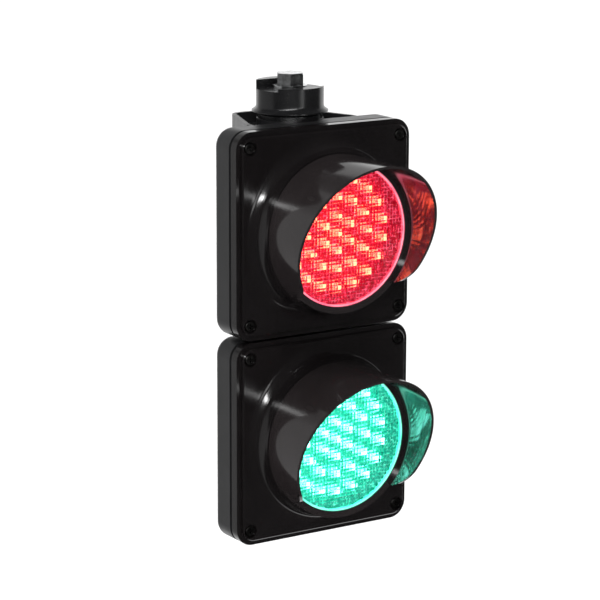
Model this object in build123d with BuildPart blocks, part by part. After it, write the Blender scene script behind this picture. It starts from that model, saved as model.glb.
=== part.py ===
"""Two-section LED signal head: red section over green section, hung from one clamp hub.

Units are millimetres, +Z is up, and the lenses face -Y.  The origin is the centre of the
hub's slot floor, on the vertical axis that the hub, the coupling and the bottom plug share.
"""
import os

from build123d import *

os.makedirs("parts", exist_ok=True)

# ---- section outline -------------------------------------------------------------------
SECTION_W = 142.0          # width of one section across the cover
SECTION_H = 145.0          # height of one section
CORNER_R = 12.5            # corner radius of cover, gasket and housing rim
SECTION_GAP = 1.6          # air gap between the two sections
FACE_Y = -47.5             # front face of both covers
TOP_Z = -20.5              # top of the upper housing, below the slot floor
UPPER_Z = TOP_Z - SECTION_H / 2
LOWER_Z = UPPER_Z - SECTION_H - SECTION_GAP
BOTTOM_Z = LOWER_Z - SECTION_H / 2

# ---- rear housing ----------------------------------------------------------------------
WALL = 3.0                 # housing wall
RIM_FRONT_Y = FACE_Y + 12.5
RIM_REAR_Y = FACE_Y + 33.0
RIM_EDGE_R = 5.0           # rounding of the rim's rear edge
TUB_W = 88.0               # width of the tub where it leaves the rim
TUB_REAR_W = 50.0          # and at its back
TUB_FRONT_Y = RIM_FRONT_Y + 1.0
TUB_REAR_Y = 40.0
TUB_R = 12.0               # rounding of the tub's rear corners
POCKET_DEPTH = 8.0         # open recess in the tub's top, round the seat
POCKET_LIP = 2.5           # lip left outside the recess
SEAT_R = 23.5              # round seat for the hub or the coupling
SEAT_WALL = 2.0
AXIS_HOLE_R = 16.05        # holes on the vertical axis, 0.05 mm over what turns in them
POST_R = 5.0               # screw posts of the housing
POST_HOLE_R = 2.05         # 0.05 mm over the cover screw
BOARD_POST_R = 3.2         # posts of the driver board
BOARD_POST_X = 18.5
BOARD_POST_Z = 31.0
BOARD_POST_L = 7.0
BOARD_SCREW_R = 1.45
BOARD_SCREW_HOLE_R = 1.5
BOARD_SCREW_GRIP = 5.0

# ---- gasket ----------------------------------------------------------------------------
GASKET_INSET = 2.0
GASKET_W = 4.0
GASKET_POST_GAP = 0.2

# ---- front cover -----------------------------------------------------------------------
COVER_REAR_Y = FACE_Y + 10.0
COVER_STEP = 3.0           # height of the raised face over the rim
COVER_STEP_INSET = 3.5     # distance of the raised face from the outline
COVER_EDGE = 0.8           # chamfer of the raised face
COVER_SKIN = 3.5           # thickness of the face plate
SCREW_PITCH = 123.0        # cover screws, both ways
SCREW_RECESS_R = 5.0
SCREW_RECESS_DEPTH = 2.5
COVER_HOLE_R = 2.3
COVER_POST_R = 6.0
COVER_POST_EMBED = 1.0     # how far a post runs into the face plate
COVER_SCREW_R = 2.0
COVER_SCREW_REACH = 10.0   # how far a cover screw enters the housing post
COVER_SCREW_HEAD_R = 3.7
COVER_SCREW_HEAD_T = 2.0
COVER_SCREW_EDGE = 0.7
CROSS_L = 4.0              # cross recess of the screw head
CROSS_W = 0.9
CROSS_FLOOR = 0.8          # metal left under the recess
BOSS_BASE_R = 66.0         # where the trumpet boss leaves the face
BOSS_TIP_R = 55.8          # where it meets the visor
BOSS_L = 12.5
BOSS_SWELL = 0.6           # outward pull of the flare's curve near the visor
BOSS_SWELL_L = 5.0         # and its height over the face
BOSS_FLARE = 3.0           # outward pull near the face
BOSS_FOOT = 0.2            # height at which the curve runs out along the face
SPIGOT_R = 52.6            # spigot that carries the visor
SPIGOT_TIP = 18.0          # spigot end, ahead of the face
COVER_BORE_R = 49.0

# ---- visor, lens and seal --------------------------------------------------------------
VISOR_R = 54.7
VISOR_BORE_R = 52.7
VISOR_LIP_R = 50.0         # clear radius of the lens, nominal 100 mm lens
VISOR_RING_TIP = 23.6      # front of the visor's full ring, ahead of the face
VISOR_LIP_L = 1.6
VISOR_REACH = 51.5         # hood rim ahead of the face at lens-centre height
VISOR_RAKE = 0.393         # forward run of the hood rim per unit of height
VISOR_RAKE_LOW = -24.0     # height below the centre where the rim turns back
VISOR_END_LOW = -37.0      # height below the centre where the hood ends
VISOR_CURL = 9.0           # pull of the curve at the two ends of that turn
VISOR_CURL_Y = 4.0
VISOR_FOOT_PULL = 7.0
SEAL_T = 1.0
SEAL_BORE_R = 49.2
LENS_R = 52.4
LENS_RIM_T = 3.0
LENS_DOME_R = 49.8
LENS_DOME = 1.4

# ---- light unit ------------------------------------------------------------------------
CUP_R = 48.8
CUP_BORE_R = 47.3
CUP_LEDGE_R = 45.5
CUP_TIP = 17.5             # cup mouth, ahead of the face
CUP_REAR = 20.0            # cup back, behind the face
CUP_BACK_T = 2.0
CUP_FLANGE_R = 59.0
CUP_FLANGE_T = 2.0
CUP_WIRE_R = 5.0
CUP_SCREW_PCD_R = 53.6
CUP_SCREW_COUNT = 3
CUP_SCREW_R = 1.45
CUP_SCREW_HOLE_R = 1.5
CUP_SCREW_DEPTH = 8.0
CUP_SCREW_TIP_GAP = 1.0
CUP_SCREW_HEAD_R = 2.8
CUP_SCREW_HEAD_T = 2.0
LED_BOARD_R = 47.1
LED_BOARD_T = 1.6
LED_BOARD_REAR = 6.4       # board back, ahead of the face
LED_RINGS = ((0.0, 1), (12.0, 6), (25.0, 12), (38.0, 18))
LED_R = 2.5
LED_FLANGE_R = 2.9
LED_FLANGE_T = 1.0
LED_BODY_L = 6.1

# ---- driver ----------------------------------------------------------------------------
DRIVER_W = 48.0
DRIVER_H = 70.0
DRIVER_T = 1.6
DRIVER_R = 2.0
SCREW_HEAD_R = 2.8
SCREW_HEAD_T = 1.8
CAP_R = 5.0
CAP_L = 14.0
CAP_X = 10.0
CAP_Z = 20.0
COIL_W = 20.0
COIL_H = 18.0
COIL_L = 15.0
COIL_Z = -2.0
CHIP_W = 10.0
CHIP_H = 6.0
CHIP_L = 2.0
CHIP_Z = -24.0
FUSE_R = 2.6
FUSE_L = 22.0
FUSE_X = 17.5
TERMINAL_W = 30.0
TERMINAL_H = 11.0
TERMINAL_D = 10.5
TERMINAL_Z = -46.5
TERMINAL_WAYS = 3
TERMINAL_WAY_R = 2.2
TERMINAL_WAY_DEPTH = 4.0

# ---- hub -------------------------------------------------------------------------------
RUN_GAP = 0.4              # axial gap between faces that turn past each other
BASE_RING_R = 23.0
BASE_RING_T = 3.0
HUB_R = 23.8
HUB_SKIRT_R = 26.9
HUB_SKIRT_LOW = 1.4        # skirt edge above the hub's underside
HUB_SKIRT_EDGE = 0.8
HUB_SKIRT_TOP = 6.8        # where the skirt runs out into the cylinder
HUB_FLARE_R = 0.9          # pull of the skirt's curve at its two ends
HUB_FLARE_LOW = 1.6
HUB_FLARE_HIGH = 3.0
HUB_FOOT_R = 24.0
HUB_SPIGOT_R = 16.0
SLOT_W = 29.0              # slot for the mounting strap, along X
SLOT_FRONT_H = 2.0
SLOT_BACK_H = 5.5
BOLT_R = 6.0
BOLT_HOLE_R = 6.4
BOLT_AF = 18.0
BOLT_HEAD_T = 8.5
BOLT_CHAMFER = 0.8
BOLT_FIT = 0.05            # radial gap of nuts and plug round their shanks
HEAD_CONE_R = 9.7          # top radius of the cone that rounds the bolt head's corners
HEAD_CONE_TAPER = -25
WASHER_R = 12.0
WASHER_T = 2.5
CLAMP_WASHER_R = 21.0
NUT_T = 10.0
BOLT_PAST_NUT = 3.0

# ---- coupling between the sections -----------------------------------------------------
NIPPLE_R = 16.0
NIPPLE_BORE_R = 12.0
NIPPLE_REACH = 13.0        # how far it enters each housing past the wall
COLLAR_R = 22.0
COLLAR_T = SECTION_GAP - RUN_GAP
RING_R = 21.0
RING_T = 1.5
LOCKNUT_AF = 36.0
LOCKNUT_T = 7.0

# ---- bottom plug -----------------------------------------------------------------------
PLUG_FLANGE_R = 22.0
PLUG_FLANGE_T = 2.5
PLUG_BOSS_R = 12.7
PLUG_BOSS_L = 2.5
STUD_R = 5.0
STUD_AF = 17.0
STUD_HEAD_T = 6.4
STUD_SHOULDER_R = 6.5
STUD_TIP_L = 4.0


def facing(y, z):
    """Plane at depth y and height z that looks out of the front; extrusions run forward."""
    return Plane(origin=(0, y, z), x_dir=(1, 0, 0), z_dir=(0, -1, 0))


def level(z):
    """Horizontal plane at height z."""
    return Plane.XY.offset(z)


def lens_axis(z):
    """Axis of a lens, through the section centre at height z."""
    return Axis((0, 0, z), (0, 1, 0))


def save(piece, name):
    """Label a finished piece and write its file."""
    piece.part.label = name
    export_step(piece.part, f"parts/{name}.step")


def tub_plan(inset):
    """Outline of the tub seen from above, moved inwards all round by inset."""
    half_w = TUB_W / 2 - inset
    rear_w = TUB_REAR_W / 2 - inset
    with BuildSketch() as plan:
        with BuildLine():
            Polyline(
                (-half_w, TUB_FRONT_Y + inset),
                (half_w, TUB_FRONT_Y + inset),
                (half_w, RIM_REAR_Y),
                (rear_w, TUB_REAR_Y - inset),
                (-rear_w, TUB_REAR_Y - inset),
                (-half_w, RIM_REAR_Y),
                close=True,
            )
        make_face()
        fillet(plan.vertices().sort_by(Axis.Y)[-2:], TUB_R - inset)
    return plan.sketch


def rear_housing(name, z):
    """Moulded rear housing: shallow rim, tapered tub with a hub seat, and inner posts."""
    with BuildPart() as rim:
        with BuildSketch(facing(RIM_REAR_Y, z)):
            RectangleRounded(SECTION_W, SECTION_H, CORNER_R)
        extrude(amount=RIM_REAR_Y - RIM_FRONT_Y)
        rear_face = rim.faces().sort_by(Axis.Y)[-1]
        fillet(rear_face.edges(), RIM_EDGE_R)
    with BuildPart() as housing:
        with BuildSketch(level(z - SECTION_H / 2)):
            add(tub_plan(0))
        extrude(amount=SECTION_H)
        with BuildSketch(level(z + SECTION_H / 2 - POCKET_DEPTH)):
            add(tub_plan(POCKET_LIP))
            Circle(SEAT_R, mode=Mode.SUBTRACT)
        extrude(amount=POCKET_DEPTH, mode=Mode.SUBTRACT)
        add(rim.part)
        with BuildSketch(facing(RIM_REAR_Y - WALL, z)):
            RectangleRounded(SECTION_W - 2 * WALL, SECTION_H - 2 * WALL, CORNER_R - WALL)
        extrude(amount=RIM_REAR_Y - WALL - RIM_FRONT_Y, mode=Mode.SUBTRACT)
        with BuildSketch(level(z - SECTION_H / 2 + WALL)):
            add(tub_plan(WALL))
        extrude(amount=SECTION_H - 2 * WALL - POCKET_DEPTH, mode=Mode.SUBTRACT)
        with BuildSketch(level(z)):
            Circle(SEAT_R - SEAT_WALL)
        extrude(amount=SECTION_H / 2 - WALL, mode=Mode.SUBTRACT)
        with BuildSketch(facing(RIM_REAR_Y - WALL / 2, z)):
            with GridLocations(SCREW_PITCH, SCREW_PITCH, 2, 2):
                Circle(POST_R)
        extrude(amount=RIM_REAR_Y - WALL / 2 - RIM_FRONT_Y)
        with BuildSketch(facing(RIM_REAR_Y - WALL, z)):
            with GridLocations(SCREW_PITCH, SCREW_PITCH, 2, 2):
                Circle(POST_HOLE_R)
        extrude(amount=RIM_REAR_Y - WALL - RIM_FRONT_Y, mode=Mode.SUBTRACT)
        with BuildSketch(facing(TUB_REAR_Y - WALL / 2, z)):
            with GridLocations(2 * BOARD_POST_X, 2 * BOARD_POST_Z, 2, 2):
                Circle(BOARD_POST_R)
        extrude(amount=WALL / 2 + BOARD_POST_L)
        with BuildSketch(facing(TUB_REAR_Y - WALL, z)):
            with GridLocations(2 * BOARD_POST_X, 2 * BOARD_POST_Z, 2, 2):
                Circle(BOARD_SCREW_HOLE_R)
        extrude(amount=BOARD_POST_L + WALL, mode=Mode.SUBTRACT)
        with BuildSketch(level(z - SECTION_H / 2)):
            Circle(AXIS_HOLE_R)
        extrude(amount=SECTION_H, mode=Mode.SUBTRACT)
    save(housing, name)


def gasket(name, z):
    """Flat rubber frame between cover and housing, notched round the screw posts."""
    with BuildPart() as frame:
        with BuildSketch(facing(RIM_FRONT_Y, z)):
            RectangleRounded(
                SECTION_W - 2 * GASKET_INSET,
                SECTION_H - 2 * GASKET_INSET,
                CORNER_R - GASKET_INSET,
            )
            RectangleRounded(
                SECTION_W - 2 * GASKET_INSET - 2 * GASKET_W,
                SECTION_H - 2 * GASKET_INSET - 2 * GASKET_W,
                CORNER_R - GASKET_INSET - GASKET_W,
                mode=Mode.SUBTRACT,
            )
            with GridLocations(SCREW_PITCH, SCREW_PITCH, 2, 2):
                Circle(COVER_POST_R + GASKET_POST_GAP, mode=Mode.SUBTRACT)
        extrude(amount=RIM_FRONT_Y - COVER_REAR_Y)
    save(frame, name)


def front_cover(name, z):
    """Moulded cover: rim, raised face, trumpet boss with visor spigot, screw posts."""
    step_y = FACE_Y + COVER_STEP
    with BuildPart() as cover:
        with BuildSketch(facing(COVER_REAR_Y, z)):
            RectangleRounded(SECTION_W, SECTION_H, CORNER_R)
        extrude(amount=COVER_REAR_Y - step_y)
        with BuildSketch(facing(step_y, z)):
            RectangleRounded(
                SECTION_W - 2 * COVER_STEP_INSET,
                SECTION_H - 2 * COVER_STEP_INSET,
                CORNER_R - COVER_STEP_INSET,
            )
        extrude(amount=COVER_STEP)
        face = cover.faces().sort_by(Axis.Y)[0]
        chamfer(face.edges(), COVER_EDGE)
        with BuildSketch(facing(COVER_REAR_Y, z)):
            RectangleRounded(SECTION_W - 2 * WALL, SECTION_H - 2 * WALL, CORNER_R - WALL)
        extrude(amount=COVER_REAR_Y - FACE_Y - COVER_SKIN, mode=Mode.SUBTRACT)
        with BuildSketch(facing(RIM_FRONT_Y, z)):
            with GridLocations(SCREW_PITCH, SCREW_PITCH, 2, 2):
                Circle(COVER_POST_R)
        extrude(amount=RIM_FRONT_Y - FACE_Y - COVER_SKIN + COVER_POST_EMBED)
        with BuildSketch(level(z)):
            with BuildLine():
                Polyline(
                    (BOSS_BASE_R, FACE_Y),
                    (BOSS_BASE_R, FACE_Y + COVER_SKIN),
                    (COVER_BORE_R, FACE_Y + COVER_SKIN),
                    (COVER_BORE_R, FACE_Y - SPIGOT_TIP),
                    (SPIGOT_R, FACE_Y - SPIGOT_TIP),
                    (SPIGOT_R, FACE_Y - BOSS_L),
                    (BOSS_TIP_R, FACE_Y - BOSS_L),
                )
                Bezier(
                    (BOSS_TIP_R, FACE_Y - BOSS_L),
                    (BOSS_TIP_R + BOSS_SWELL, FACE_Y - BOSS_SWELL_L),
                    (BOSS_TIP_R + BOSS_FLARE, FACE_Y - BOSS_FOOT),
                    (BOSS_BASE_R, FACE_Y),
                )
            make_face()
        revolve(axis=lens_axis(z))
        with BuildSketch(facing(COVER_REAR_Y, z)):
            Circle(COVER_BORE_R)
        extrude(amount=COVER_REAR_Y - FACE_Y + SPIGOT_TIP, mode=Mode.SUBTRACT)
        with BuildSketch(facing(RIM_FRONT_Y, z)):
            with GridLocations(SCREW_PITCH, SCREW_PITCH, 2, 2):
                Circle(COVER_HOLE_R)
        extrude(amount=RIM_FRONT_Y - FACE_Y, mode=Mode.SUBTRACT)
        with BuildSketch(facing(FACE_Y + SCREW_RECESS_DEPTH, z)):
            with GridLocations(SCREW_PITCH, SCREW_PITCH, 2, 2):
                Circle(SCREW_RECESS_R)
        extrude(amount=SCREW_RECESS_DEPTH, mode=Mode.SUBTRACT)
        with BuildSketch(facing(FACE_Y + COVER_SKIN, z)):
            with PolarLocations(CUP_SCREW_PCD_R, CUP_SCREW_COUNT, 90):
                Circle(CUP_SCREW_HOLE_R)
        extrude(amount=CUP_SCREW_DEPTH, mode=Mode.SUBTRACT)
    save(cover, name)


def cover_screws(name, z):
    """Four pan-head cross-recess screws that hold the cover on the housing."""
    head_y = FACE_Y + SCREW_RECESS_DEPTH
    with BuildPart() as screws:
        with BuildSketch(facing(RIM_FRONT_Y + COVER_SCREW_REACH, z)):
            with GridLocations(SCREW_PITCH, SCREW_PITCH, 2, 2):
                Circle(COVER_SCREW_R)
        extrude(amount=RIM_FRONT_Y + COVER_SCREW_REACH - head_y)
        with BuildSketch(facing(head_y, z)):
            with GridLocations(SCREW_PITCH, SCREW_PITCH, 2, 2):
                Circle(COVER_SCREW_HEAD_R)
        extrude(amount=COVER_SCREW_HEAD_T)
        heads = screws.faces().filter_by(Axis.Y).sort_by(Axis.Y)[:4]
        fillet(heads.edges(), COVER_SCREW_EDGE)
        with BuildSketch(facing(head_y - CROSS_FLOOR, z)):
            with GridLocations(SCREW_PITCH, SCREW_PITCH, 2, 2):
                Rectangle(CROSS_L, CROSS_W)
                Rectangle(CROSS_W, CROSS_L)
        extrude(amount=COVER_SCREW_HEAD_T, mode=Mode.SUBTRACT)
    save(screws, name)


def visor(name, z):
    """Visor: full ring with a lens lip, and a raked hood that is open at the bottom."""
    hood_tip = VISOR_REACH + VISOR_RAKE * VISOR_R
    low_y = FACE_Y - VISOR_REACH - VISOR_RAKE * VISOR_RAKE_LOW
    ring_y = FACE_Y - VISOR_RING_TIP
    with BuildPart() as hood:
        with BuildSketch(facing(FACE_Y - BOSS_L, z)):
            Circle(VISOR_R)
            Circle(VISOR_BORE_R, mode=Mode.SUBTRACT)
        extrude(amount=hood_tip - BOSS_L + WALL)
        with BuildSketch(Plane.YZ):
            with BuildLine():
                Polyline(
                    (ring_y, z + VISOR_END_LOW),
                    (ring_y, z - VISOR_R - WALL),
                    (FACE_Y - hood_tip - 2 * WALL, z - VISOR_R - WALL),
                    (FACE_Y - hood_tip - 2 * WALL, z + VISOR_R + WALL),
                    (FACE_Y - hood_tip - VISOR_RAKE * WALL, z + VISOR_R + WALL),
                    (low_y, z + VISOR_RAKE_LOW),
                )
                Bezier(
                    (low_y, z + VISOR_RAKE_LOW),
                    (low_y + VISOR_CURL_Y, z + VISOR_RAKE_LOW - VISOR_CURL),
                    (ring_y - VISOR_FOOT_PULL, z + VISOR_END_LOW),
                    (ring_y, z + VISOR_END_LOW),
                )
            make_face()
        extrude(amount=VISOR_R + WALL, both=True, mode=Mode.SUBTRACT)
        with BuildSketch(facing(ring_y + VISOR_LIP_L, z)):
            Circle(VISOR_R)
            Circle(VISOR_LIP_R, mode=Mode.SUBTRACT)
        extrude(amount=VISOR_LIP_L)
    save(hood, name)


def lens(name, z):
    """Clear lens disc with a flat clamping rim and a shallow front dome."""
    back_y = FACE_Y - SPIGOT_TIP - SEAL_T
    rim_y = back_y - LENS_RIM_T
    dome_r = (LENS_DOME_R**2 + LENS_DOME**2) / (2 * LENS_DOME)
    with BuildPart() as disc:
        with BuildSketch(level(z)):
            with BuildLine():
                Polyline(
                    (0, rim_y - LENS_DOME),
                    (0, back_y),
                    (LENS_R, back_y),
                    (LENS_R, rim_y),
                    (LENS_DOME_R, rim_y),
                )
                RadiusArc((LENS_DOME_R, rim_y), (0, rim_y - LENS_DOME), dome_r)
            make_face()
        revolve(axis=lens_axis(z))
    save(disc, name)


def lens_seal(name, z):
    """Rubber ring behind the lens."""
    with BuildPart() as ring:
        with BuildSketch(facing(FACE_Y - SPIGOT_TIP, z)):
            Circle(LENS_R)
            Circle(SEAL_BORE_R, mode=Mode.SUBTRACT)
        extrude(amount=SEAL_T)
    save(ring, name)


def light_cup(name, z):
    """Cup that carries the LED board: ledge, flange with screw holes, wire hole."""
    back_y = FACE_Y + CUP_REAR
    flange_y = FACE_Y + COVER_SKIN + CUP_FLANGE_T
    board_y = FACE_Y - LED_BOARD_REAR
    with BuildPart() as cup:
        with BuildSketch(facing(back_y, z)):
            Circle(CUP_R)
        extrude(amount=CUP_REAR + CUP_TIP)
        with BuildSketch(facing(flange_y, z)):
            Circle(CUP_FLANGE_R)
        extrude(amount=CUP_FLANGE_T)
        with BuildSketch(facing(board_y, z)):
            Circle(CUP_BORE_R)
        extrude(amount=CUP_TIP - LED_BOARD_REAR, mode=Mode.SUBTRACT)
        with BuildSketch(facing(back_y - CUP_BACK_T, z)):
            Circle(CUP_LEDGE_R)
        extrude(amount=CUP_REAR - CUP_BACK_T + CUP_TIP, mode=Mode.SUBTRACT)
        with BuildSketch(facing(back_y, z)):
            Circle(CUP_WIRE_R)
        extrude(amount=CUP_BACK_T, mode=Mode.SUBTRACT)
        with BuildSketch(facing(flange_y, z)):
            with PolarLocations(CUP_SCREW_PCD_R, CUP_SCREW_COUNT, 90):
                Circle(CUP_SCREW_HOLE_R)
        extrude(amount=CUP_FLANGE_T, mode=Mode.SUBTRACT)
    save(cup, name)


def cup_screws(name, z):
    """Screws that hold the cup's flange on the back of the cover."""
    head_y = FACE_Y + COVER_SKIN + CUP_FLANGE_T
    with BuildPart() as screws:
        with BuildSketch(facing(head_y, z)):
            with PolarLocations(CUP_SCREW_PCD_R, CUP_SCREW_COUNT, 90):
                Circle(CUP_SCREW_R)
        extrude(amount=CUP_FLANGE_T + CUP_SCREW_DEPTH - CUP_SCREW_TIP_GAP)
        with BuildSketch(facing(head_y + CUP_SCREW_HEAD_T, z)):
            with PolarLocations(CUP_SCREW_PCD_R, CUP_SCREW_COUNT, 90):
                Circle(CUP_SCREW_HEAD_R)
        extrude(amount=CUP_SCREW_HEAD_T)
    save(screws, name)


def led_board(name, z):
    """Round circuit board that sits on the cup's ledge."""
    with BuildPart() as board:
        with BuildSketch(facing(FACE_Y - LED_BOARD_REAR, z)):
            Circle(LED_BOARD_R)
        extrude(amount=LED_BOARD_T)
    save(board, name)


def leds(name, z):
    """Round LEDs in one centre place and three rings, each with a foot flange and a dome."""
    board_y = FACE_Y - LED_BOARD_REAR - LED_BOARD_T
    with BuildPart() as lamps:
        with BuildSketch(level(z)) as half_led:
            with BuildLine():
                Polyline(
                    (0, board_y - LED_BODY_L - LED_R),
                    (0, board_y),
                    (LED_FLANGE_R, board_y),
                    (LED_FLANGE_R, board_y - LED_FLANGE_T),
                    (LED_R, board_y - LED_FLANGE_T),
                    (LED_R, board_y - LED_BODY_L),
                )
                RadiusArc(
                    (LED_R, board_y - LED_BODY_L), (0, board_y - LED_BODY_L - LED_R), LED_R
                )
            make_face()
        revolve(axis=lens_axis(z))
        one_led = lamps.part
        for ring_r, count in LED_RINGS[1:]:
            with Locations(facing(0, 0)):
                with PolarLocations(ring_r, count, -90, rotate=False):
                    add(Rot(X=-90) * one_led)
    save(lamps, name)


def driver_board(name, z):
    """Power-supply board on the tub's rear wall."""
    with BuildPart() as board:
        with BuildSketch(facing(TUB_REAR_Y - WALL - BOARD_POST_L, z)):
            RectangleRounded(DRIVER_W, DRIVER_H, DRIVER_R)
            with GridLocations(2 * BOARD_POST_X, 2 * BOARD_POST_Z, 2, 2):
                Circle(BOARD_SCREW_HOLE_R, mode=Mode.SUBTRACT)
        extrude(amount=DRIVER_T)
    save(board, name)


def driver_parts(name, z):
    """Capacitors, coil block, chip and fuse on the driver board."""
    board_y = TUB_REAR_Y - WALL - BOARD_POST_L - DRIVER_T
    with BuildPart() as blocks:
        with BuildSketch(facing(board_y, z)):
            with Locations((-CAP_X, CAP_Z), (CAP_X, CAP_Z)):
                Circle(CAP_R)
        extrude(amount=CAP_L)
        with BuildSketch(facing(board_y, z)):
            with Locations((0, COIL_Z)):
                Rectangle(COIL_W, COIL_H)
        extrude(amount=COIL_L)
        with BuildSketch(facing(board_y, z)):
            with Locations((0, CHIP_Z)):
                Rectangle(CHIP_W, CHIP_H)
        extrude(amount=CHIP_L)
        with BuildSketch(facing(board_y, z)):
            with Locations((FUSE_X, 0)):
                Rectangle(2 * FUSE_R, FUSE_L)
        extrude(amount=2 * FUSE_R)
    save(blocks, name)


def driver_screws(name, z):
    """Screws that hold the driver board on its posts."""
    board_y = TUB_REAR_Y - WALL - BOARD_POST_L - DRIVER_T
    with BuildPart() as screws:
        with BuildSketch(facing(board_y, z)):
            with GridLocations(2 * BOARD_POST_X, 2 * BOARD_POST_Z, 2, 2):
                Circle(SCREW_HEAD_R)
        extrude(amount=SCREW_HEAD_T)
        with BuildSketch(facing(board_y + DRIVER_T + BOARD_SCREW_GRIP, z)):
            with GridLocations(2 * BOARD_POST_X, 2 * BOARD_POST_Z, 2, 2):
                Circle(BOARD_SCREW_R)
        extrude(amount=DRIVER_T + BOARD_SCREW_GRIP)
    save(screws, name)


def terminal_block(name, z):
    """Terminal block on the tub's rear wall, below the driver board."""
    front_y = TUB_REAR_Y - WALL - TERMINAL_D
    way_pitch = TERMINAL_W / TERMINAL_WAYS
    with BuildPart() as block:
        with BuildSketch(facing(TUB_REAR_Y - WALL, z + TERMINAL_Z)):
            Rectangle(TERMINAL_W, TERMINAL_H)
        extrude(amount=TERMINAL_D)
        with BuildSketch(facing(front_y + TERMINAL_WAY_DEPTH, z + TERMINAL_Z)):
            with GridLocations(way_pitch, way_pitch, TERMINAL_WAYS, 1):
                Circle(TERMINAL_WAY_R)
        extrude(amount=TERMINAL_WAY_DEPTH, mode=Mode.SUBTRACT)
    save(block, name)


def section(prefix, z, lens_name):
    """All the pieces of one section, centred at height z."""
    rear_housing(f"{prefix}_rear_housing", z)
    gasket(f"{prefix}_gasket", z)
    front_cover(f"{prefix}_front_cover", z)
    cover_screws(f"{prefix}_cover_screws", z)
    visor(f"{prefix}_visor", z)
    lens(lens_name, z)
    lens_seal(f"{prefix}_lens_seal", z)
    light_cup(f"{prefix}_light_cup", z)
    cup_screws(f"{prefix}_cup_screws", z)
    led_board(f"{prefix}_led_board", z)
    leds(f"{prefix}_leds", z)
    driver_board(f"{prefix}_driver_board", z)
    driver_parts(f"{prefix}_driver_parts", z)
    driver_screws(f"{prefix}_driver_screws", z)
    terminal_block(f"{prefix}_terminal_block", z)


def ring(name, low_z, height, outer_r, inner_r):
    """Plain flat ring on the vertical axis."""
    with BuildPart() as flat_ring:
        with BuildSketch(level(low_z)):
            Circle(outer_r)
            Circle(inner_r, mode=Mode.SUBTRACT)
        extrude(amount=height)
    save(flat_ring, name)


def hex_nut(name, low_z, height, across_flats, inner_r):
    """Hexagon nut on the vertical axis, flats facing front and back."""
    with BuildPart() as nut:
        with BuildSketch(level(low_z)):
            RegularPolygon(across_flats / 2, 6, major_radius=False)
            Circle(inner_r, mode=Mode.SUBTRACT)
        extrude(amount=height)
    save(nut, name)


def hub_body():
    """Clamp hub: spigot into the housing, flared skirt, cylinder and strap slot."""
    foot_z = TOP_Z + BASE_RING_T + RUN_GAP
    spigot_z = TOP_Z - WALL - RUN_GAP
    edge_z = foot_z + HUB_SKIRT_LOW
    with BuildPart() as hub:
        with BuildSketch(Plane.XZ):
            with BuildLine():
                Polyline(
                    (HUB_R, foot_z + HUB_SKIRT_TOP),
                    (HUB_R, SLOT_BACK_H),
                    (BOLT_HOLE_R, SLOT_BACK_H),
                    (BOLT_HOLE_R, spigot_z),
                    (HUB_SPIGOT_R, spigot_z),
                    (HUB_SPIGOT_R, foot_z),
                    (HUB_FOOT_R, foot_z),
                    (HUB_SKIRT_R, edge_z),
                    (HUB_SKIRT_R, edge_z + HUB_SKIRT_EDGE),
                )
                Bezier(
                    (HUB_SKIRT_R, edge_z + HUB_SKIRT_EDGE),
                    (HUB_R + HUB_FLARE_R, edge_z + HUB_SKIRT_EDGE + HUB_FLARE_LOW),
                    (HUB_R, foot_z + HUB_SKIRT_TOP - HUB_FLARE_HIGH),
                    (HUB_R, foot_z + HUB_SKIRT_TOP),
                )
            make_face()
        revolve(axis=Axis.Z)
        with BuildSketch(level(0)):
            Rectangle(2 * HUB_SKIRT_R, SLOT_W)
        extrude(amount=SLOT_BACK_H, mode=Mode.SUBTRACT)
        with BuildSketch(level(SLOT_FRONT_H)):
            with Locations((0, -HUB_SKIRT_R / 2)):
                Rectangle(2 * HUB_SKIRT_R, HUB_SKIRT_R)
        extrude(amount=SLOT_BACK_H - SLOT_FRONT_H, mode=Mode.SUBTRACT)
    save(hub, "hub_body")


def hub_bolt():
    """Hexagon bolt through the hub, head on the washer in the slot."""
    tip_z = TOP_Z - WALL - RUN_GAP - WASHER_T - NUT_T - BOLT_PAST_NUT
    with BuildPart() as bolt:
        with BuildSketch(level(WASHER_T)):
            RegularPolygon(BOLT_AF / 2, 6, major_radius=False)
        extrude(amount=BOLT_HEAD_T)
        with BuildSketch(level(WASHER_T + BOLT_HEAD_T)):
            Circle(HEAD_CONE_R)
        extrude(amount=-BOLT_HEAD_T, taper=HEAD_CONE_TAPER, mode=Mode.INTERSECT)
        with BuildSketch(level(tip_z)):
            Circle(BOLT_R)
        extrude(amount=WASHER_T - tip_z)
        tip = bolt.faces().sort_by(Axis.Z)[0]
        chamfer(tip.edges(), BOLT_CHAMFER)
    save(bolt, "hub_bolt")


def coupling_nipple():
    """Hollow coupling tube with a collar that spaces the two sections."""
    seam_top = UPPER_Z - SECTION_H / 2
    seam_bottom = LOWER_Z + SECTION_H / 2
    low_z = seam_bottom - WALL - NIPPLE_REACH
    high_z = seam_top + WALL + NIPPLE_REACH
    with BuildPart() as nipple:
        with BuildSketch(level(low_z)):
            Circle(NIPPLE_R)
        extrude(amount=high_z - low_z)
        with BuildSketch(level(seam_top - COLLAR_T)):
            Circle(COLLAR_R)
        extrude(amount=COLLAR_T)
        with BuildSketch(level(low_z)):
            Circle(NIPPLE_BORE_R)
        extrude(amount=high_z - low_z, mode=Mode.SUBTRACT)
    save(nipple, "coupling_nipple")


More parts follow.
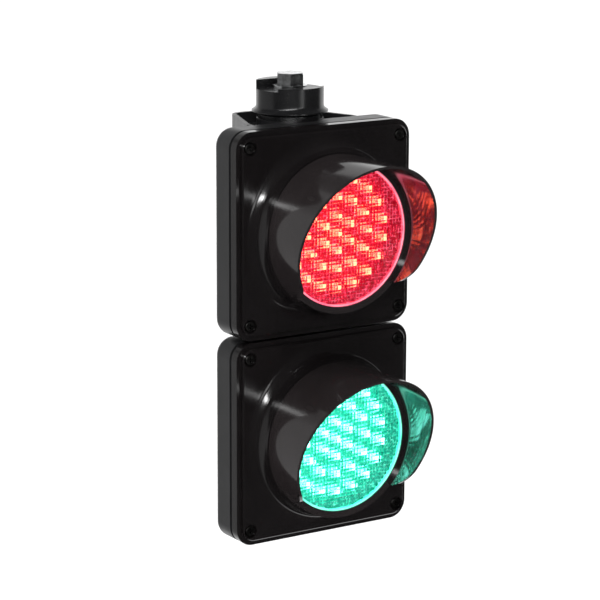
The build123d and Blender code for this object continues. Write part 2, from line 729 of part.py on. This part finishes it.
def bottom_plug():
    """Plug that closes the lower housing's bottom hole, with a boss round the stud."""
    with BuildPart() as plug:
        with BuildSketch(level(BOTTOM_Z - PLUG_BOSS_L)):
            Circle(PLUG_BOSS_R)
        extrude(amount=PLUG_BOSS_L)
        with BuildSketch(level(BOTTOM_Z)):
            Circle(HUB_SPIGOT_R)
        extrude(amount=WALL)
        with BuildSketch(level(BOTTOM_Z + WALL)):
            Circle(PLUG_FLANGE_R)
        extrude(amount=PLUG_FLANGE_T)
        with BuildSketch(level(BOTTOM_Z - PLUG_BOSS_L)):
            Circle(STUD_SHOULDER_R + BOLT_FIT)
        extrude(amount=PLUG_BOSS_L + WALL + PLUG_FLANGE_T, mode=Mode.SUBTRACT)
    save(plug, "bottom_plug")


def bottom_stud():
    """Shoulder bolt through the bottom plug: head inside, M10 end standing out below."""
    head_z = BOTTOM_Z + WALL + PLUG_FLANGE_T
    boss_z = BOTTOM_Z - PLUG_BOSS_L
    with BuildPart() as stud:
        with BuildSketch(level(head_z)):
            RegularPolygon(STUD_AF / 2, 6, major_radius=False)
        extrude(amount=STUD_HEAD_T)
        with BuildSketch(level(boss_z)):
            Circle(STUD_SHOULDER_R)
        extrude(amount=head_z - boss_z)
        with BuildSketch(level(boss_z)):
            Circle(STUD_R)
        extrude(amount=-STUD_TIP_L)
        tip = stud.faces().sort_by(Axis.Z)[0]
        chamfer(tip.edges(), BOLT_CHAMFER)
    save(stud, "bottom_stud")


section("upper", UPPER_Z, "upper_red_lens")
section("lower", LOWER_Z, "lower_green_lens")

ring("hub_base_ring", TOP_Z, BASE_RING_T, BASE_RING_R, AXIS_HOLE_R)
hub_body()
hub_bolt()
ring("hub_bolt_washer", 0, WASHER_T, WASHER_R, BOLT_HOLE_R)
clamp_z = TOP_Z - WALL - RUN_GAP - WASHER_T
ring("hub_clamp_washer", clamp_z, WASHER_T, CLAMP_WASHER_R, BOLT_HOLE_R)
hex_nut("hub_nut", clamp_z - NUT_T, NUT_T, BOLT_AF, BOLT_R + BOLT_FIT)

coupling_nipple()
upper_floor = UPPER_Z - SECTION_H / 2 + WALL
lower_roof = LOWER_Z + SECTION_H / 2 - WALL
nut_bore = NIPPLE_R + BOLT_FIT
ring("coupling_upper_washer", upper_floor, RING_T, RING_R, nut_bore)
hex_nut("coupling_upper_locknut", upper_floor + RING_T, LOCKNUT_T, LOCKNUT_AF, nut_bore)
low_ring = lower_roof - RUN_GAP - RING_T
ring("coupling_lower_washer", low_ring, RING_T, RING_R, nut_bore)
hex_nut("coupling_lower_locknut", low_ring - LOCKNUT_T, LOCKNUT_T, LOCKNUT_AF, nut_bore)

bottom_plug()
bottom_stud()
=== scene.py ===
import math

import bmesh
import bpy
from mathutils import Matrix, Vector


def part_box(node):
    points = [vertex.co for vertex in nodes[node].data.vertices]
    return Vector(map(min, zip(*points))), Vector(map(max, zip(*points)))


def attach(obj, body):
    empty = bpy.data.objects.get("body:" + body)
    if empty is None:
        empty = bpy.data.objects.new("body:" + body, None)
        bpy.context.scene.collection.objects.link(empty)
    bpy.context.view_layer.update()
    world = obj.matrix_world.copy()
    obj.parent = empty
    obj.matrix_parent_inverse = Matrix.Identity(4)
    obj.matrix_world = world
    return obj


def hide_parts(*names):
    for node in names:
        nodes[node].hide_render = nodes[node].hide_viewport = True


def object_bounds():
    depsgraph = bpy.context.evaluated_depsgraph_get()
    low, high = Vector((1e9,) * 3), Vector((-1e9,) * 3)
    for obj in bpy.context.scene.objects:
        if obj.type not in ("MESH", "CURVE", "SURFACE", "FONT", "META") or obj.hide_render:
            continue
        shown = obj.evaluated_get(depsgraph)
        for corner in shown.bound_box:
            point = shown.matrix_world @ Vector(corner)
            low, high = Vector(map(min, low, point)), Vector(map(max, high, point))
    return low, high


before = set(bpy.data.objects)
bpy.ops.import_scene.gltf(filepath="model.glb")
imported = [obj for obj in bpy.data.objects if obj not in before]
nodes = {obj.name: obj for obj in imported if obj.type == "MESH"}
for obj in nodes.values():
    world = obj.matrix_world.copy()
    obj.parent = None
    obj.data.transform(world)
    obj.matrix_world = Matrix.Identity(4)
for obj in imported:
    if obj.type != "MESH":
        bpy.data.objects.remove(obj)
cad_box = [list(v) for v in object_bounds()]
scene = bpy.context.scene
scene.view_settings.view_transform = "Standard"

# ---- sizes, in metres unless the name says otherwise -----------------------------------
PITCH = 0.0025             # pitch of the lens prisms
SAG = 0.0006               # height of one prism pillow
STEPS = 6                  # mesh steps across one pillow
PITCH_SLACK = 1e-6         # in pitches: a point on a pillow's border counts to the next pillow
VISOR_STEP = 0.0047        # outer radius of the visor, less the clear radius of the lens
RIM_AHEAD = 0.003          # face of the bright rim, ahead of the lens seal
EDGE_GAP = 0.0006          # between the prisms and the clear radius
RIM_TURNS = 192            # mesh steps round the rim
# section of the bright rim: distance outside the clear radius, and distance ahead of the
# rim's face, or None at the back of the lens
RIM_SECTION = (
    (-0.0014, None), (-0.0014, 0.0008), (-0.0009, 0.0012), (-0.0004, 0.0011), (-0.0001, 0.0006),
    (0.0, 0.0), (0.0022, 0.0), (0.0022, None),
)
# width of the bevel on the sharp edges of a kind of node; a kind that isn't here has none
BEVEL_MM = {
    "rear_housing": 0.5, "front_cover": 0.35, "visor": 0.5, "hub_body": 0.4, "hub_bolt": 0.45,
    "hub_bolt_washer": 0.3, "bottom_plug": 0.3, "bottom_stud": 0.2, "hub_base_ring": 0.3,
    "gasket": 0.3, "coupling_nipple": 0.2,
}
BEVEL_SEGMENTS = 2
# edges sharper than these angles stay sharp on bevelled nodes, other nodes, prisms and rims
BEVEL_DEG, PLAIN_DEG, PRISM_DEG, RIM_DEG = 32.0, 35.0, 60.0, 40.0
FLOOR_DROP = 0.32          # floor, below the object, which hangs
FLOOR_HALF = 40.0

# ---- shader graphs ---------------------------------------------------------------------
NOISE_FROM, NOISE_TO = 0.3, 0.7        # the range that noise mostly fills
GROOVE_FROM, GROOVE_TO = 0.3, 0.46     # where a groove starts and is full, from a cell's middle
LENS_IOR = 1.49
GLINT_GAIN = 3.0                       # light of the prisms' grooves, against their faces
LED_DIM, LED_BRIGHT = 0.6, 7.5         # light of an LED's body and of its core
GLOW_FROM, GLOW_TO = 0.0002, 0.0018    # depth behind the LEDs' tips where the core fades


class Graph:
    """Adds and links the shader nodes of one material, or of the world."""

    def __init__(self, owner, shader="Principled BSDF"):
        owner.use_nodes = True
        self.owner = owner
        self.tree = owner.node_tree
        self.shader = self.tree.nodes[shader]
        self.coords = self.tree.nodes.new("ShaderNodeTexCoord").outputs

    def put(self, socket, value):
        if isinstance(value, bpy.types.NodeSocket):
            self.tree.links.new(value, socket)
        else:
            socket.default_value = value

    def set(self, **inputs):
        for key, value in inputs.items():
            self.put(self.shader.inputs[key.replace("_", " ")], value)

    def add(self, kind, **inputs):
        node = self.tree.nodes.new(kind)
        for key, value in inputs.items():
            self.put(node.inputs[key], value)
        return node

    def axes(self, vector):
        return self.add("ShaderNodeSeparateXYZ", Vector=vector).outputs

    def noise(self, size_mm, detail=3.0, rough=0.5, stretch=(1, 1, 1)):
        scaled = self.add("ShaderNodeMapping", Vector=self.coords["Object"])
        scaled.inputs["Scale"].default_value = [s * 1000.0 / size_mm for s in stretch]
        return self.add(
            "ShaderNodeTexNoise", Vector=scaled.outputs[0], Scale=1.0, Detail=detail, Roughness=rough
        ).outputs[0]

    def spread(self, value, low, high, start=NOISE_FROM, stop=NOISE_TO, curve="LINEAR"):
        """Goes from low to high while value goes from start to stop."""
        node = self.add("ShaderNodeMapRange", Value=value)
        node.interpolation_type = curve
        for socket, number in zip(node.inputs[1:5], (start, stop, low, high)):
            socket.default_value = number
        return node.outputs[0]

    def drift(self, size_mm, detail=3.0):
        """Slow change between 0 and 1 over the surface."""
        return self.spread(self.noise(size_mm, detail), 0.0, 1.0)

    def combine(self, kind, first, second=0.0):
        node = self.tree.nodes.new("ShaderNodeMath")
        node.operation = kind
        self.put(node.inputs[0], first)
        self.put(node.inputs[1], second)
        return node.outputs[0]

    def groove(self, place):
        """1 along the borders of unit cells, 0 inside them."""
        off_middle = self.combine("ABSOLUTE", self.combine("SUBTRACT", self.combine("FRACT", place), 0.5))
        return self.spread(off_middle, 0.0, 1.0, GROOVE_FROM, GROOVE_TO)

    def tint(self, value, dark, light):
        node = self.tree.nodes.new("ShaderNodeMix")
        node.data_type = "RGBA"
        self.put(node.inputs["Factor"], value)
        node.inputs["A"].default_value = (*dark, 1)
        node.inputs["B"].default_value = (*light, 1)
        return node.outputs["Result"]

    def bump(self, height, strength, depth_mm):
        node = self.add("ShaderNodeBump", Strength=strength, Distance=depth_mm / 1000.0, Height=height)
        self.put(self.shader.inputs["Normal"], node.outputs[0])


def new_graph(name):
    return Graph(bpy.data.materials.new(name))


def plastic(name, dark, light, rough, grain_mm, grain_depth, spec=0.5, blotch_mm=35.0):
    """Moulded plastic: slow colour drift, handling marks in the gloss, moulding grain."""
    g = new_graph(name)
    g.set(Base_Color=g.tint(g.drift(blotch_mm, detail=4.0), dark, light))
    smear = g.noise(blotch_mm / 3, detail=5.0, rough=0.6, stretch=(1, 1, 0.35))
    g.set(Roughness=g.spread(smear, *rough), Specular_IOR_Level=spec)
    g.bump(g.noise(grain_mm, detail=2.0), 0.6, grain_depth)
    return g.owner


def metal(name, dark, light, rough):
    """Plated steel: cloudy plating and fine turned or rolled scratches."""
    g = new_graph(name)
    g.set(Base_Color=g.tint(g.drift(5.0, detail=5.0), dark, light), Metallic=1.0)
    g.set(Roughness=g.spread(g.noise(3.0, detail=4.0), *rough))
    g.bump(g.noise(2.5, stretch=(1, 1, 14)), 0.5, 0.03)
    return g.owner


def rubber(name, dark, light, rough):
    """Matt rubber with a dusty drift in colour and a fine grain."""
    g = new_graph(name)
    g.set(Base_Color=g.tint(g.drift(8.0, detail=5.0), dark, light))
    g.set(Roughness=g.spread(g.noise(2.0), *rough), Specular_IOR_Level=0.3)
    g.bump(g.noise(0.5, detail=2.0), 0.7, 0.04)
    return g.owner


def prism_plastic(name, node, tint, deep, glint, strength):
    """Clear coloured prism plastic: LEDs shine through, and the grooves catch their light."""
    g = new_graph(name)
    lighter = [min(1, t * 1.1 + 0.01) for t in tint]
    g.set(Base_Color=g.tint(g.drift(9.0), tint, lighter), Transmission_Weight=1.0, IOR=LENS_IOR)
    g.set(Roughness=g.spread(g.noise(1.2), 0.02, 0.06))
    low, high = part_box(node)
    cells = g.add("ShaderNodeMapping", Vector=g.coords["Object"])
    cells.inputs["Location"].default_value = [-c / PITCH for c in (low + high) / 2]
    cells.inputs["Scale"].default_value = (1 / PITCH,) * 3
    place = g.axes(cells.outputs[0])
    grooves = g.combine("MAXIMUM", g.groove(place["X"]), g.groove(place["Z"]))
    patches = g.spread(g.noise(3.4, detail=2.0), 0.0, 1.0, start=0.42, stop=0.68)
    glints = g.combine("MULTIPLY", grooves, patches)
    g.set(Emission_Color=g.tint(glints, deep, glint))
    fine = g.spread(g.noise(1.7, rough=0.7), 0.3, 1.6)
    light = g.spread(glints, strength, GLINT_GAIN * strength, start=0.0, stop=1.0)
    g.set(Emission_Strength=g.combine("MULTIPLY", fine, light))
    g.bump(g.noise(0.8, detail=2.0), 0.25, 0.02)
    return g.owner


def led_plastic(name, node, body, core):
    """Lit LED: a bright core under the tip of each dome, and patches of light in its body."""
    g = new_graph(name)
    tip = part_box(node)[0].y
    glow = g.spread(g.axes(g.coords["Object"])["Y"], 1.0, 0.0, tip + GLOW_FROM, tip + GLOW_TO)
    patches = g.spread(g.noise(1.3, detail=2.0, rough=0.6), 0.0, 1.0, start=0.45, stop=0.55)
    colour = g.tint(g.combine("MAXIMUM", glow, g.combine("MULTIPLY", patches, 0.7)), body, core)
    g.set(Base_Color=colour, Emission_Color=colour)
    light = g.combine("MAXIMUM", glow, patches)
    g.set(Emission_Strength=g.spread(light, LED_DIM, LED_BRIGHT, start=0.0, stop=1.0))
    g.set(Roughness=g.spread(g.noise(0.8), 0.15, 0.3))
    g.bump(g.noise(0.4), 0.3, 0.02)
    return g.owner


def lit(name, dark, light, strength, blotch_mm):
    """A lit surface: emission that drifts between two strengths and two colours."""
    g = new_graph(name)
    colour = g.tint(g.drift(blotch_mm), dark, light)
    g.set(Base_Color=colour, Emission_Color=colour)
    g.set(Emission_Strength=g.spread(g.noise(blotch_mm * 0.6, detail=2.0), *strength))
    g.set(Roughness=g.spread(g.noise(blotch_mm * 0.4), 0.3, 0.5))
    g.bump(g.noise(blotch_mm * 0.2), 0.3, 0.05)
    return g.owner


# ---- materials -------------------------------------------------------------------------
housing = plastic(
    "housing_plastic", dark=(0.009, 0.009, 0.0095), light=(0.014, 0.014, 0.015),
    rough=(0.3, 0.4), grain_mm=0.7, grain_depth=0.04,
)
cover = plastic(
    "cover_plastic", dark=(0.0045, 0.0038, 0.004), light=(0.0068, 0.0058, 0.006),
    rough=(0.09, 0.15), grain_mm=2.4, grain_depth=0.008,
)
visor = plastic(
    "visor_plastic", dark=(0.012, 0.0098, 0.01), light=(0.017, 0.0142, 0.0146),
    rough=(0.07, 0.12), grain_mm=2.2, grain_depth=0.006, spec=0.75,
)
hub_black = plastic(
    "hub_plastic", dark=(0.005, 0.005, 0.0055), light=(0.009, 0.009, 0.0095),
    rough=(0.18, 0.3), grain_mm=1.0, grain_depth=0.02,
)
cup_dark = plastic(
    "cup_plastic", dark=(0.028, 0.026, 0.027), light=(0.045, 0.042, 0.044),
    rough=(0.25, 0.4), grain_mm=1.0, grain_depth=0.03,
)
gasket = rubber("gasket_rubber", dark=(0.0048,) * 3, light=(0.008,) * 3, rough=(0.7, 0.88))
zinc = metal("zinc_steel", dark=(0.3, 0.305, 0.31), light=(0.8, 0.81, 0.82), rough=(0.1, 0.24))
dark_zinc = metal(
    "dark_zinc_steel", dark=(0.02, 0.0195, 0.019), light=(0.06, 0.058, 0.056), rough=(0.3, 0.5)
)
board_green = plastic(
    "board_mask", dark=(0.02, 0.13, 0.05), light=(0.03, 0.18, 0.07),
    rough=(0.3, 0.45), grain_mm=1.2, grain_depth=0.03,
)
parts_dark = plastic(
    "component_plastic", dark=(0.02, 0.02, 0.03), light=(0.05, 0.05, 0.06),
    rough=(0.3, 0.5), grain_mm=1.0, grain_depth=0.03,
)
terminal = plastic(
    "terminal_plastic", dark=(0.03, 0.25, 0.11), light=(0.04, 0.32, 0.15),
    rough=(0.35, 0.5), grain_mm=1.0, grain_depth=0.03,
)

LAMPS = {
    "upper": {
        "lens": prism_plastic(
            "red_lens", "upper_red_lens",
            tint=(1.0, 0.15, 0.22), deep=(0.7, 0.0, 0.035), glint=(1.0, 0.16, 0.3), strength=0.24,
        ),
        "rim": lit(
            "red_lens_rim", dark=(0.9, 0.12, 0.2), light=(1.0, 0.28, 0.36),
            strength=(0.7, 0.95), blotch_mm=12.0,
        ),
        "led_board": lit(
            "red_board", dark=(0.05, 0.0, 0.003), light=(0.26, 0.001, 0.016),
            strength=(0.6, 1.0), blotch_mm=5.0,
        ),
        "leds": led_plastic("red_led", "upper_leds", body=(0.8, 0.02, 0.06), core=(1.0, 0.95, 0.3)),
    },
    "lower": {
        "lens": prism_plastic(
            "green_lens", "lower_green_lens",
            tint=(0.22, 1.0, 0.8), deep=(0.0, 0.62, 0.4), glint=(0.2, 1.0, 0.75), strength=0.24,
        ),
        "rim": lit(
            "green_lens_rim", dark=(0.1, 0.85, 0.58), light=(0.3, 1.0, 0.75),
            strength=(0.7, 0.95), blotch_mm=12.0,
        ),
        "led_board": lit(
            "green_board", dark=(0.0, 0.05, 0.035), light=(0.0, 0.2, 0.14),
            strength=(0.6, 1.0), blotch_mm=5.0,
        ),
        "leds": led_plastic("green_led", "lower_leds", body=(0.05, 0.7, 0.45), core=(1.0, 1.0, 1.0)),
    },
}
# finish of the nodes that each section has one of, by the name after upper_ or lower_
SECTION_FINISH = {
    "rear_housing": housing, "gasket": gasket, "front_cover": cover, "cover_screws": dark_zinc,
    "visor": visor, "lens_seal": gasket, "light_cup": cup_dark, "cup_screws": zinc,
    "driver_board": board_green, "driver_parts": parts_dark, "driver_screws": zinc,
    "terminal_block": terminal,
}
ONE_OFF_FINISH = {
    "hub_body": hub_black, "hub_base_ring": hub_black, "hub_bolt": zinc, "hub_bolt_washer": zinc,
    "hub_clamp_washer": zinc, "hub_nut": zinc, "coupling_nipple": hub_black,
    "coupling_upper_washer": gasket, "coupling_lower_washer": gasket,
    "coupling_upper_locknut": hub_black, "coupling_lower_locknut": hub_black,
    "bottom_plug": hub_black, "bottom_stud": zinc,
}


# ---- finish of the CAD nodes -----------------------------------------------------------
def paint(obj, material):
    obj.data.materials.clear()
    obj.data.materials.append(material)


def smooth(data, sharp_deg):
    data.shade_smooth()
    data.set_sharp_from_angle(angle=math.radians(sharp_deg))


def round_edges(obj, width_mm):
    bevel = obj.modifiers.new("edge", "BEVEL")
    bevel.width = width_mm / 1000.0
    bevel.segments = BEVEL_SEGMENTS
    bevel.limit_method = "ANGLE"
    bevel.angle_limit = math.radians(BEVEL_DEG)
    bevel.harden_normals = True
    bevel.use_clamp_overlap = True


for name, obj in nodes.items():
    side, _, kind = name.partition("_")
    if name in ONE_OFF_FINISH:
        paint(obj, ONE_OFF_FINISH[name])
        kind = name
    elif kind in SECTION_FINISH:
        paint(obj, SECTION_FINISH[kind])
    elif kind in LAMPS[side]:
        paint(obj, LAMPS[side][kind])
    if kind in BEVEL_MM:
        smooth(obj.data, BEVEL_DEG)
        round_edges(obj, BEVEL_MM[kind])
    else:
        smooth(obj.data, PLAIN_DEG)


# ---- lenses ----------------------------------------------------------------------------
def new_piece(name, mesh, sharp_deg, material):
    data = bpy.data.meshes.new(name)
    mesh.to_mesh(data)
    mesh.free()
    smooth(data, sharp_deg)
    piece = bpy.data.objects.new(name, data)
    scene.collection.objects.link(piece)
    paint(piece, material)
    return piece


def lens_face(x, z, clear, depth):
    """How far the front stands ahead of the rim at x, z from the centre: dome plus pillows."""
    dome = depth * (1 - (x * x + z * z) / (clear * clear))
    u, w = (2 * (v / PITCH - math.floor(v / PITCH + PITCH_SLACK)) - 1 for v in (x, z))
    return dome + SAG * (1 - (u * u + w * w) / 2)


def lens_mesh(low, high, clear, rim_y):
    """Closed disc of square mesh cells, with prisms in front and a flat back."""
    centre = (low + high) / 2
    depth = rim_y - low.y - SAG
    count = int(2 * clear / PITCH) * STEPS
    step = PITCH / STEPS
    mesh = bmesh.new()
    grid = {}

    def vertex(i, j, back):
        key = (i, j, back)
        if key not in grid:
            x, z = (i - count / 2) * step, (j - count / 2) * step
            y = high.y if back else rim_y - lens_face(x, z, clear, depth)
            grid[key] = mesh.verts.new((centre.x + x, y, centre.z + z))
        return grid[key]

    def inside(i, j):
        x, z = (i + 0.5 - count / 2) * step, (j + 0.5 - count / 2) * step
        return math.hypot(x, z) < clear - EDGE_GAP and 0 <= i < count and 0 <= j < count

    for i, j in [(i, j) for i in range(count) for j in range(count) if inside(i, j)]:
        corners = ((i, j), (i + 1, j), (i + 1, j + 1), (i, j + 1))
        mesh.faces.new([vertex(*corner, False) for corner in corners])
        mesh.faces.new([vertex(*corner, True) for corner in reversed(corners)])
        neighbours = ((i, j - 1), (i + 1, j), (i, j + 1), (i - 1, j))
        for start, end, neighbour in zip(corners, corners[1:] + corners[:1], neighbours):
            if not inside(*neighbour):
                mesh.faces.new([
                    vertex(*end, False), vertex(*start, False), vertex(*start, True), vertex(*end, True)
                ])
    return mesh


def rim_mesh(centre, profile):
    """Closed ring turned round the line along Y through centre; profile is (radius, y)."""
    mesh = bmesh.new()
    loops = []
    for k in range(RIM_TURNS):
        a = 2 * math.pi * k / RIM_TURNS
        loops.append([
            mesh.verts.new((centre.x + r * math.cos(a), y, centre.z + r * math.sin(a)))
            for r, y in profile
        ])
    for here, there in zip(loops, loops[1:] + loops[:1]):
        for m in range(len(profile)):
            n = (m + 1) % len(profile)
            mesh.faces.new([here[m], here[n], there[n], there[m]])
    bmesh.ops.recalc_face_normals(mesh, faces=mesh.faces)
    return mesh


for side, node, slot in (
    ("upper", "upper_red_lens", "lens_red"), ("lower", "lower_green_lens", "lens_green"),
):
    low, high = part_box(node)
    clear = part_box(f"{side}_visor")[1].x - VISOR_STEP
    rim_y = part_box(f"{side}_lens_seal")[0].y - RIM_AHEAD
    profile = [
        (clear + out, high.y if ahead is None else rim_y - ahead) for out, ahead in RIM_SECTION
    ]
    prisms = new_piece(
        f"{side}_lens_prisms", lens_mesh(low, high, clear, rim_y), PRISM_DEG, LAMPS[side]["lens"]
    )
    rim = new_piece(f"{side}_lens_rim", rim_mesh((low + high) / 2, profile), RIM_DEG, LAMPS[side]["rim"])
    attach(prisms, f"{side}_section")
    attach(rim, f"{side}_section")
    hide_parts(node)

# ---- floor -----------------------------------------------------------------------------
box_low, box_high = (Vector(v) for v in cad_box)
middle = (box_low + box_high) / 2
floor_data = bpy.data.meshes.new("floor")
floor_data.from_pydata([
    (x * FLOOR_HALF, y * FLOOR_HALF, box_low.z - FLOOR_DROP)
    for x, y in ((-1, -1), (1, -1), (1, 1), (-1, 1))
], [], [(0, 1, 2, 3)])
floor = bpy.data.objects.new("floor", floor_data)
floor.visible_glossy = False
scene.collection.objects.link(floor)
g = new_graph("floor_paint")
g.set(Base_Color=g.tint(g.drift(900.0), (0.93,) * 3, (0.96,) * 3), Roughness=0.9, Specular_IOR_Level=0.1)
paint(floor, g.owner)

# ---- room ------------------------------------------------------------------------------
# A dim room with a white sweep behind the object, which its gloss reflects. Places in it are
# given by the X, Y or Z of a unit vector that points there.
ROOM_DIM = 0.05
SWEEP = 1.15                       # strength of the sweep at its foot
FADED = 0.5                        # share of it that is left above FADE_TO
FADE_FROM, FADE_TO = 0.25, 0.42
SWEEP_TOP, TOP_BLUR = 0.54, 0.01   # where the sweep ends upwards
SIDE_BLUR = 0.1                    # it ends beside the object, between this far behind and ahead
LEFT_SHARE, LEFT_END = 0.36, -0.4  # share of its strength that is left at LEFT_END and beyond

scene.world = bpy.data.worlds.new("studio")
sky = Graph(scene.world, "Background")
towards = sky.axes(sky.coords["Generated"])


def band(axis, start, stop, low, high):
    return sky.spread(towards[axis], low, high, start, stop, curve="SMOOTHSTEP")


behind = band("Y", -SIDE_BLUR, SIDE_BLUR, 0.0, 1.0)
across = sky.combine("MULTIPLY", behind, band("X", LEFT_END, 0.0, LEFT_SHARE, 1.0))
upwards = sky.combine(
    "MULTIPLY",
    band("Z", FADE_FROM, FADE_TO, SWEEP, FADED * SWEEP),
    band("Z", SWEEP_TOP - TOP_BLUR, SWEEP_TOP + TOP_BLUR, 1.0, 0.0),
)
room = sky.combine("MAXIMUM", sky.combine("MULTIPLY", across, upwards), ROOM_DIM)
# the backdrop itself looks white from everywhere
seen = sky.add("ShaderNodeLightPath").outputs["Is Camera Ray"]
sky.set(Color=(1, 1, 1, 1), Strength=sky.combine("MAXIMUM", room, seen))

# ---- lights ----------------------------------------------------------------------------
SOFTBOX_DISTANCE = 2.5
# the softboxes stand in a row, with their long sides along it
ROW_LEFT, ROW_RIGHT = Vector((-0.749, -0.426, 0.509)), Vector((0.112, -0.994, 0.011))
ROW_NORMAL = ROW_LEFT.cross(ROW_RIGHT).normalized()
# name, direction from the object, size, power
SOFTBOXES = (
    ("softbox_left", Vector((-0.576, -0.708, 0.408)), (1.0, 0.16), 24.0),
    ("softbox_front", Vector((-0.33, -0.907, 0.267)), (0.7, 0.16), 12.0),
    ("softbox_right", ROW_RIGHT, (0.9, 0.3), 3.0),
    ("softbox_high", ROW_LEFT, (0.8, 0.2), 6.0),
)
SUN_STRENGTH = 3.4
SUN_SPREAD_DEG = 60
SUN_TURN_DEG = (8, -10, 0)

for name, direction, size, power in SOFTBOXES:
    light = bpy.data.lights.new(name, "AREA")
    light.shape = "RECTANGLE"
    light.size, light.size_y = size
    light.energy = power
    away = direction.normalized()
    along = ROW_NORMAL.cross(away).normalized()
    turn = Matrix((along, away.cross(along), away)).transposed()
    softbox = bpy.data.objects.new(name, light)
    softbox.matrix_world = Matrix.Translation(middle + SOFTBOX_DISTANCE * away) @ turn.to_4x4()
    scene.collection.objects.link(softbox)
sun = bpy.data.lights.new("sky", "SUN")
sun.energy = SUN_STRENGTH
sun.angle = math.radians(SUN_SPREAD_DEG)
sun_obj = bpy.data.objects.new("sky", sun)
sun_obj.rotation_euler = [math.radians(a) for a in SUN_TURN_DEG]
sun_obj.visible_glossy = False
scene.collection.objects.link(sun_obj)

# ---- camera ----------------------------------------------------------------------------
CAMERA_PLACE = (-0.9113, -1.4394, 0.2332)
CAMERA_AZIMUTH_DEG, CAMERA_ELEVATION_DEG, CAMERA_ROLL_DEG = -32.59, 12.74, 0.18
CAMERA_LENS_MM, CAMERA_SENSOR_MM = 147.0, 36.0
CAMERA_CLIP = (0.05, 200.0)

azimuth, elevation = math.radians(CAMERA_AZIMUTH_DEG), math.radians(CAMERA_ELEVATION_DEG)
ahead = Vector((
    -math.sin(azimuth) * math.cos(elevation),
    math.cos(azimuth) * math.cos(elevation),
    -math.sin(elevation),
))
cam_data = bpy.data.cameras.new("camera")
cam_data.lens = CAMERA_LENS_MM
cam_data.sensor_width = CAMERA_SENSOR_MM
cam_data.clip_start, cam_data.clip_end = CAMERA_CLIP
cam = bpy.data.objects.new("camera", cam_data)
level = ahead.to_track_quat("-Z", "Y").to_matrix()
turn = level @ Matrix.Rotation(math.radians(CAMERA_ROLL_DEG), 3, "Z")
cam.matrix_world = Matrix.Translation(CAMERA_PLACE) @ turn.to_4x4()
scene.collection.objects.link(cam)
scene.camera = cam

bpy.context.view_layer.update()
